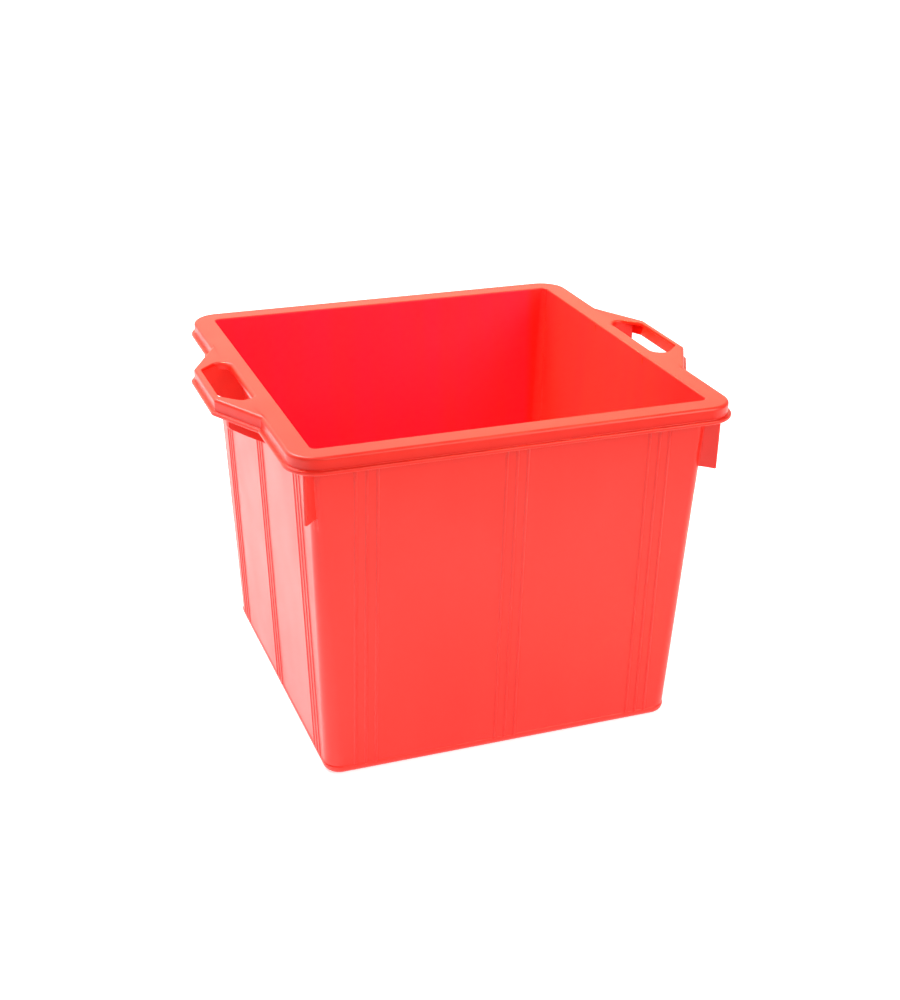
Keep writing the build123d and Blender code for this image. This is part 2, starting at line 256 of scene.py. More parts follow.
# ------------------------------------------------------------------ material
def moulded_plastic():
    """Red polyethylene straight from the mould: soft gloss, faint flow streaks, rubbed edges; painted shade inside the
    tub, lifted by painted light on the inner right wall, and painted shade along the ribs.
    """
    m = bpy.data.materials.new("red_moulded_plastic")
    m.use_nodes = True
    nodes, links = m.node_tree.nodes, m.node_tree.links
    nodes.clear()
    out = nodes.new("ShaderNodeOutputMaterial")
    bsdf = nodes.new("ShaderNodeBsdfPrincipled")
    links.new(bsdf.outputs["BSDF"], out.inputs["Surface"])
    coords = nodes.new("ShaderNodeTexCoord")

    def noise(scale, detail=2.0, rough=0.5, stretch=None):
        t = nodes.new("ShaderNodeTexNoise")
        t.inputs["Scale"].default_value = scale
        t.inputs["Detail"].default_value = detail
        t.inputs["Roughness"].default_value = rough
        if stretch:
            s = nodes.new("ShaderNodeMapping")
            s.inputs["Scale"].default_value = stretch
            links.new(coords.outputs["Object"], s.inputs["Vector"])
            links.new(s.outputs["Vector"], t.inputs["Vector"])
        else:
            links.new(coords.outputs["Object"], t.inputs["Vector"])
        return t.outputs["Fac"]

    def attribute(name):
        a = nodes.new("ShaderNodeAttribute")
        a.attribute_name = name
        return a.outputs["Fac"]

    def math_node(op, a, b=None, clamp=False):
        k = nodes.new("ShaderNodeMath")
        k.operation = op
        k.use_clamp = clamp
        for s, x in zip(k.inputs, (a, b)):
            if isinstance(x, (int, float)):
                s.default_value = x
            elif x is not None:
                links.new(x, s)
        return k.outputs[0]

    def span(x, lo, hi, to_lo, to_hi):
        k = nodes.new("ShaderNodeMapRange")
        k.interpolation_type = "SMOOTHSTEP"
        links.new(x, k.inputs["Value"])
        for name, val in (("From Min", lo), ("From Max", hi), ("To Min", to_lo), ("To Max", to_hi)):
            k.inputs[name].default_value = val
        return k.outputs["Result"]

    def mix(fac, a, b):
        k = nodes.new("ShaderNodeMix")
        k.data_type = "RGBA"
        links.new(fac, k.inputs[0])
        for s, x in ((k.inputs[6], a), (k.inputs[7], b)):
            if isinstance(x, tuple):
                s.default_value = (*x, 1.0)
            else:
                links.new(x, s)
        return k.outputs[2]

    # colour: the inside painted a deeper crimson than the outside as painted shade, with slow drift and faint flow
    # streaks
    outside = mix(span(noise(5.0, 1.0), 0.2, 0.8, 0.0, 1.0), OUT_A, OUT_B)
    inside = mix(span(noise(6.0, 1.0), 0.2, 0.8, 0.0, 1.0), SHADED_IN_A, SHADED_IN_B)
    place = nodes.new("ShaderNodeSeparateXYZ")
    links.new(coords.outputs["Object"], place.inputs["Vector"])
    # painted light: on the inner right wall the inside's painted shade is cut to a quarter, a painted pool of light
    # where light falls on that wall
    shaded_inside = math_node("MULTIPLY", attribute("shaded_inside"), span(place.outputs["X"], 0.172, 0.187, 1.0, 0.25))
    colour = mix(shaded_inside, outside, inside)
    streak = span(noise(1.0, 1.0, 0.5, (30.0, 30.0, 3.0)), 0.25, 0.80, 0.0, 0.28)
    colour = mix(streak, colour, STREAK)
    wear_and_shade = attribute("wear_and_shade")                                    # above 0 where rubbed, below 0 along the ribs, where it carries painted shade
    # painted shade: where the channel is below 0 the ribs are darkened towards a deep red
    colour = mix(math_node("MULTIPLY", wear_and_shade, -1.0, clamp=True), colour, RIB_SHADE_RED)
    rub = math_node("MULTIPLY", wear_and_shade, span(noise(26.0, 2.0), 0.30, 0.75, 0.0, 1.0), clamp=True)
    colour = mix(math_node("MULTIPLY", rub, 0.30), colour, RUBBED)
    links.new(colour, bsdf.inputs["Base Color"])

    # gloss: uneven, duller where rubbed
    rough = span(noise(14.0, 1.0), 0.2, 0.8, ROUGH - 0.015, ROUGH + 0.045)
    rough = math_node("ADD", rough, math_node("MULTIPLY", rub, 0.16))
    links.new(rough, bsdf.inputs["Roughness"])
    bsdf.inputs["IOR"].default_value = 1.48

    # relief: slow waviness of a thin wall
    wave = nodes.new("ShaderNodeBump")
    wave.inputs["Strength"].default_value = 0.5
    wave.inputs["Distance"].default_value = 0.0014
    links.new(noise(9.0, 1.0), wave.inputs["Height"])
    links.new(wave.outputs["Normal"], bsdf.inputs["Normal"])
    return m


OUT_A, OUT_B = (0.86, 0.0150, 0.0068), (0.90, 0.0172, 0.0076)
# painted shade: the inside colours are a deeper crimson that stands in for the shade and red bounced light inside the
# tub
SHADED_IN_A, SHADED_IN_B = (0.90, 0.0150, 0.058), (0.93, 0.0168, 0.063)
STREAK = (0.91, 0.026, 0.015)
RUBBED = (0.93, 0.10, 0.07)
# painted shade laid along the ribs
RIB_SHADE_RED = (0.50, 0.010, 0.006)
ROUGH = 0.30
plastic = moulded_plastic()

# ------------------------------------------------------------------ levels shared by the walls and their corners
ROWS = [SEAM, 8.6, 9.0, 9.06, 9.2, 9.45, 9.8, 10.1, 10.4, 10.7, 11.0, 12.0, 14.0, 20.0, 40.0, 70.0, 100.0, 130.0, 160.0, 190.0,
        220.0, 250.0, 275.0, FIN_BOTTOM, FIN_BOTTOM + 0.107, FIN_BOTTOM + 0.4, FIN_BOTTOM + 0.8, 296.0, 306.0, 316.0,
        326.0, 336.0, LIP_BOTTOM, LIP_BOTTOM + 1.6, 350.0, 354.0, WALL_TOP]


def base_step(z):
    """The base course stands a little proud of the walls: how far at level z, and its slope."""
    t = min(max((BASE_STEP_Z - z) / BASE_STEP_RISE, 0.0), 1.0)
    return BASE_STEP * t * t * (3 - 2 * t), -BASE_STEP * 6 * t * (1 - t) / BASE_STEP_RISE


def inner_level(z):
    """Level on the inner face that goes with level z on the outer face."""
    return z if z >= 14.0 else SEAM_IN + (z - SEAM) * (14.0 - SEAM_IN) / (14.0 - SEAM)


# ------------------------------------------------------------------ walls with their ribs
RIBS = [g * RIB_GROUP + k * RIB_PITCH for g in (-1, 0, 1) for k in (-1, 0, 1)]
RIB_FLAT, RIB_FOOT = 0.35, 2.15          # half width of the crown, and of the foot where the rib fades into the wall


def rib_height(x):
    """Height and slope of the ribs at x."""
    h, d = np.zeros_like(x), np.zeros_like(x)
    for c in RIBS:
        u = x - c
        t = np.clip((np.abs(u) - RIB_FLAT) / (RIB_FOOT - RIB_FLAT), 0.0, 1.0)
        h += RIB_H * 0.5 * (1 + np.cos(math.pi * t))
        d += np.where(np.abs(u) < RIB_FOOT, -RIB_H * 0.5 * math.pi / (RIB_FOOT - RIB_FLAT) * np.sin(math.pi * t) * np.sign(u), 0.0)
    return h, d


def rib_end(z):
    """The ribs run out in a rounded lower end."""
    if z <= 9.0:
        return 0.0, 0.0
    if z >= 12.0:
        return 1.0, 0.0
    t = (12.0 - z) / 3.0
    e = math.sqrt(1 - t * t)
    return e, min(t / (3.0 * max(e, 0.08)), 4.0)


def wall():
    p = Piece()
    steps = np.array([-1.0, -0.86, -0.72, -0.58, -0.44, -0.3, -0.16, 0.0, 0.16, 0.3, 0.44, 0.58, 0.72, 0.86, 1.0]) * RIB_FOOT
    fixed = np.concatenate([c + steps for c in RIBS])
    fixed = np.unique(np.round(np.concatenate([fixed, np.linspace(RIBS[2] + 12, RIBS[3] - 12, 8), np.linspace(RIBS[5] + 12, RIBS[6] - 12, 8)]), 6))
    side = np.array([0.15, 0.4, 0.7, 1.0])
    outer, on, inner, iN, wear_and_shade = [], [], [], [], []
    for z in ROWS:
        c = cen(z)
        x = np.concatenate([fixed[0] + (-c - fixed[0]) * side[::-1], fixed, fixed[-1] + (c - fixed[-1]) * side])
        h, d = rib_height(x)
        e, ed = rib_end(z)
        s, sd = base_step(z)
        outer.append(np.stack([x, -half(z) - h * e - s, np.full_like(x, z)], -1))
        on.append(np.stack([-d * e, -np.ones_like(x), -HALF_D - h * ed - sd], -1))
        # painted shade: below 0 along the ribs, darkening them in the material
        wear_and_shade.append(-0.22 * e * np.sqrt(h / RIB_H))
        zi = inner_level(z)
        ci = cen(zi)
        xi = np.concatenate([fixed[0] + (-ci - fixed[0]) * side[::-1], fixed, fixed[-1] + (ci - fixed[-1]) * side])
        inner.append(np.stack([xi, np.full_like(x, -half(zi) + WALL), np.full_like(x, zi)], -1))
        iN.append(np.tile((0.0, 1.0, HALF_D), (len(x), 1)))
    outer, inner = np.array(outer), np.array(inner)
    p.grid(outer, np.array(on), np.array(wear_and_shade))
    # the inner face takes the inside's painted shade
    p.grid(inner, np.array(iN), inner=1.0)
    p.grid(np.stack([outer[0], inner[0]]), (0.0, 0.0, -1.0))
    p.grid(np.stack([outer[-1], inner[-1]]), (0.0, 0.0, 1.0))
    p.grid(np.stack([outer[:, 0], inner[:, 0]]), (-1.0, 0.0, 0.0))
    p.grid(np.stack([outer[:, -1], inner[:, -1]]), (1.0, 0.0, 0.0))
    return p


# ------------------------------------------------------------------ wall corners with their fins
D45 = math.sqrt(0.5)
FIN_ROOT = 2.0          # root radius of the fins
FIN_EDGE = 1.2          # radius of their outer edge
FIN_SOFT = 0.8          # radius of their lower edges
SKIRT_DIAG = RIM_C / D45 + (SKIRT - SKIRT_T - RIM_C)
N_ARC, N_ROOT, N_SIDE, N_EDGE = 9, 6, 6, 5


def fin_reach(z):
    """Outer edge of the fin along the diagonal, from the basket's axis."""
    if z <= LIP_BOTTOM:
        t = (z - FIN_BOTTOM) / (LIP_BOTTOM - FIN_BOTTOM)
        return (FIN_OUT_LOW + (FIN_OUT - FIN_OUT_LOW) * max(t, 0.0)) / D45
    t = min((z - LIP_BOTTOM) / 1.6, 1.0)
    return FIN_OUT / D45 + (SKIRT_DIAG - FIN_OUT / D45) * t


def fin_half(z, inset):
    """Half outline of the corner with its fin at level z, from the wall to the diagonal: (along, across), normals, wear."""
    r, c = rad(z), cen(z) / D45
    half_t = FIN_T / 2 - inset
    rho = FIN_ROOT + inset
    reach = fin_reach(z) - c - inset
    edge = min(FIN_EDGE - inset * 0.6, half_t - 0.15)
    a0 = math.asin((half_t + rho) / (r + rho))                # where the root radius leaves the corner
    pts, nor, wear_and_shade = [], [], []
    for k in range(N_ARC + 1):
        a = math.radians(45) + (a0 - math.radians(45)) * k / N_ARC
        pts.append((r * math.cos(a), r * math.sin(a)))
        nor.append((math.cos(a), math.sin(a)))
        wear_and_shade.append(0.0)
    cx, cy = (r + rho) * math.cos(a0), half_t + rho
    for k in range(1, N_ROOT + 1):
        a = (math.pi + a0) + (1.5 * math.pi - math.pi - a0) * k / N_ROOT
        pts.append((cx + rho * math.cos(a), cy + rho * math.sin(a)))
        nor.append((-math.cos(a), -math.sin(a)))
        wear_and_shade.append(0.0)
    for k in range(1, N_SIDE + 1):
        t = k / N_SIDE
        pts.append((cx + (reach - edge - cx) * t, half_t))
        nor.append((0.0, 1.0))
        wear_and_shade.append(0.0)
    for k in range(1, N_EDGE + 1):
        a = math.radians(90 - 90 * k / N_EDGE)
        pts.append((reach - edge + edge * math.cos(a), half_t - edge + edge * math.sin(a)))
        nor.append((math.cos(a), math.sin(a)))
        wear_and_shade.append(0.8 * math.sin(math.pi * min(k / N_EDGE, 0.75)))
    pts.append((reach, 0.0))
    nor.append((1.0, 0.0))
    wear_and_shade.append(0.5)
    return np.array(pts), np.array(nor), np.array(wear_and_shade), a0


def plain_half(z, a0):
    """The same number of points on the bare corner."""
    r = rad(z) + base_step(z)[0]
    n_fin = N_ROOT + N_SIDE + N_EDGE + 1
    a = np.concatenate([np.linspace(math.radians(45), a0, N_ARC + 1), np.linspace(a0, 0.0, n_fin + 1)[1:]])
    return np.stack([r * np.cos(a), r * np.sin(a)], -1), np.stack([np.cos(a), np.sin(a)], -1)


def both_halves(pts, c, z):
    """Front right corner outline from the front wall round to the right wall."""
    one = np.concatenate([pts * (1, -1), pts[-2::-1]])
    x = c + (one[:, 0] + one[:, 1]) * D45
    y = -c + (-one[:, 0] + one[:, 1]) * D45
    return np.stack([x, y, np.full_like(x, z)], -1)


def tub_tilt(nx, ny):
    """Upward part of the normal of a tub corner whose outward direction is (nx, ny)."""
    return CEN_D * (ny - nx) - RAD_D


def wall_corner():
    p = Piece()

    def ring(z, fin, inset=0.0, a0=None):
        c = cen(z)
        if fin:
            pts, nor, wear_and_shade, a0 = fin_half(z, inset)
        else:
            pts, nor = plain_half(z, a0)
            wear_and_shade = np.zeros(len(pts))
        pos = both_halves(pts, c, z)
        n = both_halves(nor, 0.0, 0.0)
        on_arc = np.arange(len(pts)) <= N_ARC if fin else np.ones(len(pts), bool)
        on_arc = np.concatenate([on_arc, on_arc[-2::-1]])
        n[:, 2] = np.where(on_arc, tub_tilt(n[:, 0], n[:, 1]) - base_step(z)[1], -0.01 if fin else 0.0)
        w = np.concatenate([wear_and_shade, wear_and_shade[-2::-1]])
        return pos, n, w

    a_low = fin_half(FIN_BOTTOM, FIN_SOFT)[3]
    low = [ring(z, False, a0=a_low) for z in ROWS if z <= FIN_BOTTOM]
    high = []
    for z in [z for z in ROWS if z >= FIN_BOTTOM]:
        up = min((z - FIN_BOTTOM) / FIN_SOFT, 1.0)
        s = math.sqrt(max(0.0, 1 - (1 - up) ** 2))
        pos, n, w = ring(z, True, FIN_SOFT * (1 - s))
        if up < 1.0:                                     # rounded lower edge
            fin_part = np.zeros(len(pos), bool)
            fin_part[N_ARC + N_ROOT // 2:len(pos) - N_ARC - N_ROOT // 2] = True
            n[fin_part, :2] *= s
            n[fin_part, 2] = -(1 - up)
            w = np.where(fin_part, 0.7, w)
        high.append((pos, n, w))
    for part in (low, high):
        p.grid(np.array([r[0] for r in part]), np.array([r[1] for r in part]), np.array([r[2] for r in part]))
    p.grid(np.stack([low[-1][0], high[0][0]]), (0.0, 0.0, -1.0))       # the fin's level lower face
    inner, iN = [], []
    n_pts = len(low[0][0])
    for z in ROWS:
        zi = inner_level(z)
        c, r = cen(zi), rad(zi) - WALL
        # as many points as outside, spread evenly round the arc
        phi = np.radians(np.linspace(-90, 0, n_pts))
        inner.append(np.stack([c + r * np.cos(phi), -c + r * np.sin(phi), np.full_like(phi, zi)], -1))
        iN.append(-np.stack([np.cos(phi), np.sin(phi), tub_tilt(np.cos(phi), np.sin(phi))], -1))
    inner = np.array(inner)
    p.grid(inner, np.array(iN), inner=1.0)
    outer = np.array([r[0] for r in low] + [r[0] for r in high[1:]])
    p.grid(np.stack([low[0][0], inner[0]]), (0.0, 0.0, -1.0))
    p.grid(np.stack([high[-1][0], inner[-1]]), (0.0, 0.0, 1.0))
    p.grid(np.stack([outer[:, 0], inner[:, 0]]), (-1.0, 0.0, 0.0))
    p.grid(np.stack([outer[:, -1], inner[:, -1]]), (0.0, 1.0, 0.0))
    return p


# ------------------------------------------------------------------ base: floor, standing band, rounded edge
def base_rings():
    lean = math.degrees(LEAN)
    cos_l = math.cos(LEAN)
    uc = half(R_BOTTOM) - R_BOTTOM / cos_l                     # centre of the outer bottom radius
    ui = half(FLOOR_TOP + R_INSIDE) - WALL - R_INSIDE / cos_l   # centre of the inside radius
    outer = [(half(SEAM) + BASE_STEP, cen(SEAM), SEAM, cos_l, -math.sin(LEAN), 0.0, 0.0)]
    # rounded bottom edge: the step runs out under the basket
    for d in (lean, 7, 13, 20, 27, 34, 42, 50, 60, 70, 80, 90):
        a = math.radians(-d)
        z = R_BOTTOM + R_BOTTOM * math.sin(a)
        outer.append((uc + (R_BOTTOM + BASE_STEP) * math.cos(a), cen(z), z, math.cos(a), math.sin(a), 0.5 * math.sin(math.radians(2 * d)), 0.0))
    foot = [(uc, cen(0.0), 0.0, 0.0, -1.0, 0.3, 0.0), (174.0, 164.0, 0.0, 0.0, -1.0, 0.3, 0.0),
            (FOOT_IN + 0.6, FOOT_IN - R_FOOT, 0.0, 0.0, -1.0, 0.2, 0.0)]
    step = [(FOOT_IN + 0.6 - 0.6 * math.sin(t), FOOT_IN - R_FOOT, 0.6 - 0.6 * math.cos(t), -math.sin(t), -math.cos(t), 0.3, 0.0)
            for t in np.radians([0, 30, 60, 90])]
    step += [(FOOT_IN - 0.6 + 0.6 * math.cos(t), FOOT_IN - R_FOOT, FLOOR_LIFT - 0.6 + 0.6 * math.sin(t), -math.cos(t), -math.sin(t), 0.0, 0.0)
             for t in np.radians([0, 30, 60, 90])]
    inside = [(half(SEAM_IN) - WALL, cen(SEAM_IN), SEAM_IN, -cos_l, math.sin(LEAN), 0.0, 1.0)]
    for k in range(0, 11):
        a = math.radians(-lean + (-90 + lean) * k / 10)
        z = FLOOR_TOP + R_INSIDE + R_INSIDE * math.sin(a)
        inside.append((ui + R_INSIDE * math.cos(a), cen(z), z, -math.cos(a), -math.sin(a), 0.0, 1.0))
    return outer, foot, step, inside


def closed_loop(piece, rings, cols=10, arcs=14, tilt=None):
    """Swept section all the way round."""
    for q in range(4):
        one = Piece()
        straight(one, rings, cols=cols)
        corner(one, rings, cols=arcs, tilt=tilt)
        t = one.turned(q)
        for pts, nor, wear_and_shade, inner in zip(t.v, t.n, t.w, t.i):
            base = piece.count
            piece.v.append(pts), piece.n.append(nor), piece.w.append(wear_and_shade), piece.i.append(inner)
            piece.count += len(pts)
        shift = piece.count - t.count
        piece.f.extend([[k + shift for k in f] for f in t.f])


def outline(h, c, z, cols=10, arcs=14):
    """Closed rounded square at half width h, as closed_loop makes it."""
    pts = []
    for q in range(4):
        x = np.linspace(-c, c, cols + 1)
        side = np.stack([x, np.full_like(x, -h)], -1)
        phi = np.radians(np.linspace(-90, 0, arcs + 1))
        turn = np.stack([c + (h - c) * np.cos(phi), -c + (h - c) * np.sin(phi)], -1)
        s = np.concatenate([side, turn[1:]])
        co, si = [(1, 0), (0, 1), (-1, 0), (0, -1)][q]
        pts.append(np.stack([co * s[:-1, 0] - si * s[:-1, 1], si * s[:-1, 0] + co * s[:-1, 1]], -1))
    pts = np.concatenate(pts)
    return np.concatenate([pts, np.full((len(pts), 1), z)], 1)


def base_pan():
    p = Piece()
    outer, foot, step, inside = base_rings()
    for rings in (outer, foot, step, inside):
        closed_loop(p, rings)
    p_top = [(outer[0][0], outer[0][1], outer[0][2], 0.0, 1.0, 0.0, 0.0), (inside[0][0], inside[0][1], inside[0][2], 0.0, 1.0, 0.0, 1.0)]
    closed_loop(p, p_top)
    # inside floor: level panel in rounded rings towards the middle
    h, c, z = inside[-1][:3]
    for a, b in ((1.0, 0.8), (0.8, 0.55), (0.55, 0.3), (0.3, 0.12)):
        closed_loop(p, [(h * a, c * a, z, 0.0, 1.0, 0.0, 1.0), (h * b, c * b, z, 0.0, 1.0, 0.0, 1.0)])
    p.face(outline(h * 0.12, c * 0.12, z), (0.0, 0.0, 1.0), inner=1.0)
    # underside: level panel with the round gate mark of the moulding in the middle
    h, c, z = step[-1][:3]
    for a, b in ((1.0, 0.8), (0.8, 0.55), (0.55, 0.3), (0.3, 0.12)):
        closed_loop(p, [(h * a, c * a, z, 0.0, -1.0, 0.0, 0.0), (h * b, c * b, z, 0.0, -1.0, 0.0, 0.0)])
    ring = outline(h * 0.12, c * 0.12, z)
    t = np.arctan2(ring[:, 1], ring[:, 0])

    def circle(r, zz):
        return np.stack([r * np.cos(t), r * np.sin(t), np.full_like(t, zz)], -1)

    def closed(a, b, na, nb, wear_and_shade=0.0):
        a, b = np.concatenate([a, a[:1]]), np.concatenate([b, b[:1]])
        tt = np.append(t, t[0])
        n = [np.stack([u * np.cos(tt), u * np.sin(tt), np.full_like(tt, w)], -1) for u, w in (na, nb)]
        p.grid(np.stack([a, b]), np.stack(n), wear_and_shade)
    flat = (0.0, -1.0)
    rs = [ring, circle(9.0, z), circle(8.6, z + 0.08), circle(8.2, z + 0.35), circle(7.6, z + 0.6), circle(3.0, z + 0.6),
          circle(2.2, z + 0.45), circle(1.9, z - 0.35), circle(1.5, z - 0.6)]
    ns = [flat, flat, (-0.5, -0.87), (-0.8, -0.6), flat, flat, (0.75, -0.66), (0.95, -0.3), (0.4, -0.92)]
    for k in range(len(rs) - 1):
        closed(rs[k], rs[k + 1], ns[k], ns[k + 1])
    p.face(rs[-1], (0.0, 0.0, -1.0))
    return p


# ------------------------------------------------------------------ rim
def rim_upper():
    """The section of the rim from the mouth over the top and down to the lip."""
    lean = math.degrees(LEAN)
    zc = H - R_RIM_MOUTH
    zt = zc + R_RIM_MOUTH * math.sin(LEAN)
    hc = half(zt) - WALL + R_RIM_MOUTH * math.cos(LEAN)
    mouth = [(half(z) - WALL, c, z, -math.cos(LEAN), math.sin(LEAN), 0.0, 1.0) for z, c in ((WALL_TOP, cen(WALL_TOP)), (zt, RIM_C))]
    edge = arc(hc, zc, R_RIM_MOUTH, 180 - lean, 90, 6, wear_and_shade=(0.0, 0.5))
    # the inside's painted shade fades out over the mouth's rounded edge
    edge = [(h, c, z, nu, nz, w, max(0.0, 1 - k / 3)) for k, (h, c, z, nu, nz, w, _) in enumerate(edge)]
    return mouth, edge, hc


def rim_outer():
    """From the outer top edge down the skirt, round the lip and up inside the skirt: half widths on the straight rim."""
    top = arc(SKIRT - R_RIM_TOP, H - R_RIM_TOP, R_RIM_TOP, 90, 0, 10, wear_and_shade=(0.1, 0.9))
    skirt = [(SKIRT, RIM_C, H - R_RIM_TOP, 1.0, 0.0, 0.1, 0.0), (SKIRT, RIM_C, LIP_TOP + 0.8, 1.0, 0.0, 0.0, 0.0)]
    root = arc(SKIRT + 0.8, LIP_TOP + 0.8, 0.8, 180, 270, 4, hollow=True)
    lip = [(SKIRT + 0.8, RIM_C, LIP_TOP, 0.0, 1.0, 0.0, 0.0), (SKIRT + LIP_OUT - R_LIP, RIM_C, LIP_TOP, 0.0, 1.0, 0.2, 0.0)]
    lip_up = arc(SKIRT + LIP_OUT - R_LIP, LIP_TOP - R_LIP, R_LIP, 90, 0, 6, wear_and_shade=(0.2, 0.9))
    lip_low = arc(SKIRT + LIP_OUT - R_LIP, LIP_BOTTOM + R_LIP, R_LIP, 0, -90, 6, wear_and_shade=(0.4, 0.9))
    under = [(SKIRT + LIP_OUT - R_LIP, RIM_C, LIP_BOTTOM, 0.0, -1.0, 0.2, 0.0), (SKIRT - SKIRT_T + 0.5, RIM_C, LIP_BOTTOM, 0.0, -1.0, 0.1, 0.0)]
    back_edge = arc(SKIRT - SKIRT_T + 0.5, LIP_BOTTOM + 0.5, 0.5, -90, -180, 3, wear_and_shade=(0.1, 0.5))
    back = [(SKIRT - SKIRT_T, RIM_C, LIP_BOTTOM + 0.5, -1.0, 0.0, 0.0, 0.0), (SKIRT - SKIRT_T, RIM_C, WALL_TOP - 1.5, -1.0, 0.0, 0.0, 0.0)]
    back_root = arc(SKIRT - SKIRT_T - 1.5, WALL_TOP - 1.5, 1.5, 0, 90, 5, hollow=True)
    return [top, skirt, root, lip, lip_up + lip_low, under, back_edge, back, back_root]


def rim_under():
    """The underside of the rim in to the wall, with the root radius on the wall, and the joint face on the wall."""
    zb = WALL_TOP - 1.5
    hw = half(zb) + 1.5 / math.cos(LEAN)
    root = arc(hw, zb, 1.5, 90, 180 - math.degrees(LEAN), 5, c=None, hollow=True)
    joint = [(root[-1][0], root[-1][1], root[-1][2], -1.0, 0.0, 0.0, 0.0), (half(WALL_TOP), cen(WALL_TOP), WALL_TOP, -1.0, 0.0, 0.0, 0.0)]
    close = [(half(WALL_TOP), cen(WALL_TOP), WALL_TOP, 0.0, -1.0, 0.0, 0.0), (half(WALL_TOP) - WALL, cen(WALL_TOP), WALL_TOP, 0.0, -1.0, 0.0, 0.0)]
    return root, joint, close


def rim_section():
    """All strips of the closed section, in order round it."""
    mouth, edge, hc = rim_upper()
    flat = [(hc, RIM_C, H, 0.0, 1.0, 0.1, 0.0), (0.5 * (hc + SKIRT - R_RIM_TOP), RIM_C, H, 0.0, 1.0, 0.0, 0.0), (SKIRT - R_RIM_TOP, RIM_C, H, 0.0, 1.0, 0.1, 0.0)]
    outer = rim_outer()
    root, joint, close = rim_under()
    soffit = [(outer[-1][-1][0], RIM_C, WALL_TOP, 0.0, -1.0, 0.0, 0.0), (root[0][0], root[0][1], WALL_TOP, 0.0, -1.0, 0.0, 0.0)]
    return [mouth, edge, flat] + outer + [soffit, root, joint, close]


SECTION = rim_section()
AROUND = [r for strip in SECTION for r in strip]


def rim_length(x0=None, x1=None, cols=10):
    p = Piece()
    for strip in SECTION:
        straight(p, strip, x0=x0, x1=x1, cols=cols)
    cap(p, AROUND, x0, -1.0)
    cap(p, AROUND, x1, 1.0)
    return p


def rim_corner():
    p = Piece()
    for strip in SECTION:
        lean = [(-1.0 if r[3] < 0 else 1.0) if abs(abs(r[3]) - math.cos(LEAN)) < 1e-6 and r[1] != RIM_C else 0.0 for r in strip]
        corner(p, strip, cols=28, tilt=lean)
    corner_caps(p, AROUND)
    return p


# ------------------------------------------------------------------ hand grips
def rounded_path(pts, radii, steps, closed=False):
    """Points and outward normals along a polyline with rounded corners (outward is to the right of the way along it)."""
    pts = [np.array(q, float) for q in pts]
    n = len(pts)
    out, nor = [], []

    def add(q, m):
        if not out or np.linalg.norm(out[-1] - q) > 1e-7:
            out.append(np.array(q))
            nor.append(np.array(m))
    for k in range(n):
        r = radii[k]
        if r == 0.0:
            d = pts[(k + 1) % n] - pts[k] if k < n - 1 or closed else pts[k] - pts[k - 1]
            d = d / np.linalg.norm(d)
            add(pts[k], (d[1], -d[0]))
            continue
        a, b = pts[k] - pts[k - 1], pts[(k + 1) % n] - pts[k]
        a, b = a / np.linalg.norm(a), b / np.linalg.norm(b)
        turn = math.atan2(a[0] * b[1] - a[1] * b[0], a @ b)
        t = r * math.tan(abs(turn) / 2)
        left = 1.0 if turn > 0 else -1.0
        start = pts[k] - a * t
        centre = start + left * r * np.array((-a[1], a[0]))
        a0 = math.atan2(*(start - centre)[::-1])
        for s in range(steps + 1):
            ang = a0 + turn * s / steps
            e = np.array((math.cos(ang), math.sin(ang)))
            add(centre + r * e, e * left)
    return np.array(out), np.array(nor)


def refine(pts, nor, step):
    """Adds points along the straight stretches."""
    out, on = [pts[0]], [nor[0]]
    for k in range(1, len(pts)):
        d = np.linalg.norm(pts[k] - pts[k - 1])
        if np.allclose(nor[k], nor[k - 1], atol=1e-9) and d > step:
            m = int(math.ceil(d / step))
            for s in range(1, m):
                out.append(pts[k - 1] + (pts[k] - pts[k - 1]) * s / m)
                on.append(nor[k])
        out.append(pts[k])
        on.append(nor[k])
    return np.array(out), np.array(on)


